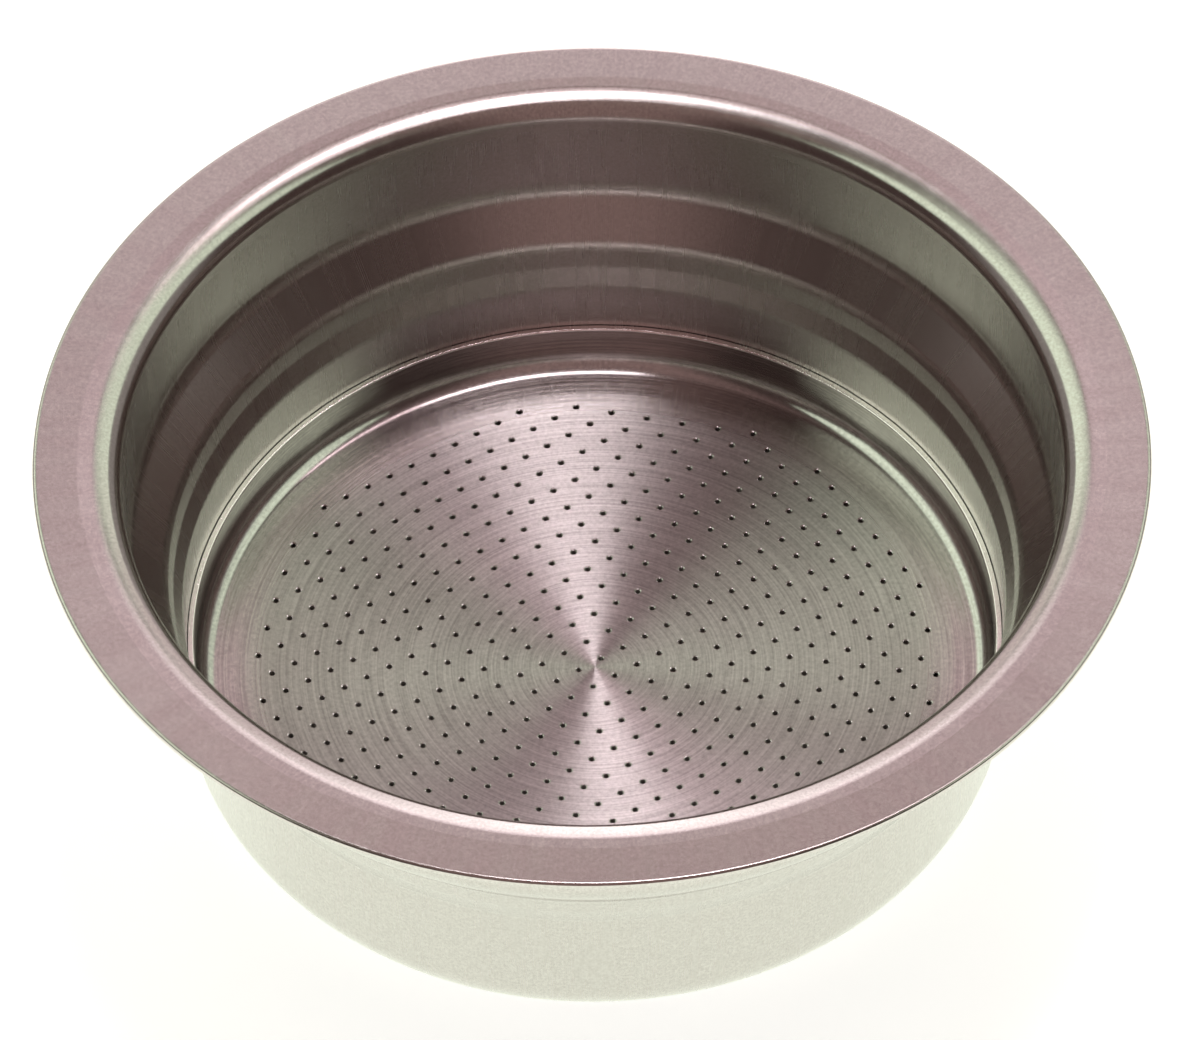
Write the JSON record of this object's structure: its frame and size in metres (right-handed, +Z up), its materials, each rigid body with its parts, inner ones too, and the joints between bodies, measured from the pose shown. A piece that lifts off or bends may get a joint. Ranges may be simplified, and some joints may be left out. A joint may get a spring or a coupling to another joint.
{
  "type": "pressurised espresso filter basket",
  "caption": "Round flanged steel cup for ground coffee, with a stepped wall and a finely perforated, dished strainer pressed into its lower part",
  "frame": {"origin": "middle of the cup's flat base, on its outer face", "axes": "+Z up along the basket's axis, out of its mouth; X and Y lie in the base plane"},
  "size_m": [0.07, 0.07, 0.0247],
  "materials": {
    "satin_steel": "satin, fine grain around the flange and down the drawn walls",
    "turned_steel": "fine concentric turning marks on the dished floor, rough sheared rim"
  },
  "bodies": {
    "root": {"basket_cup": "satin_steel", "strainer_insert": "turned_steel"}
  },
  "joints": []
}
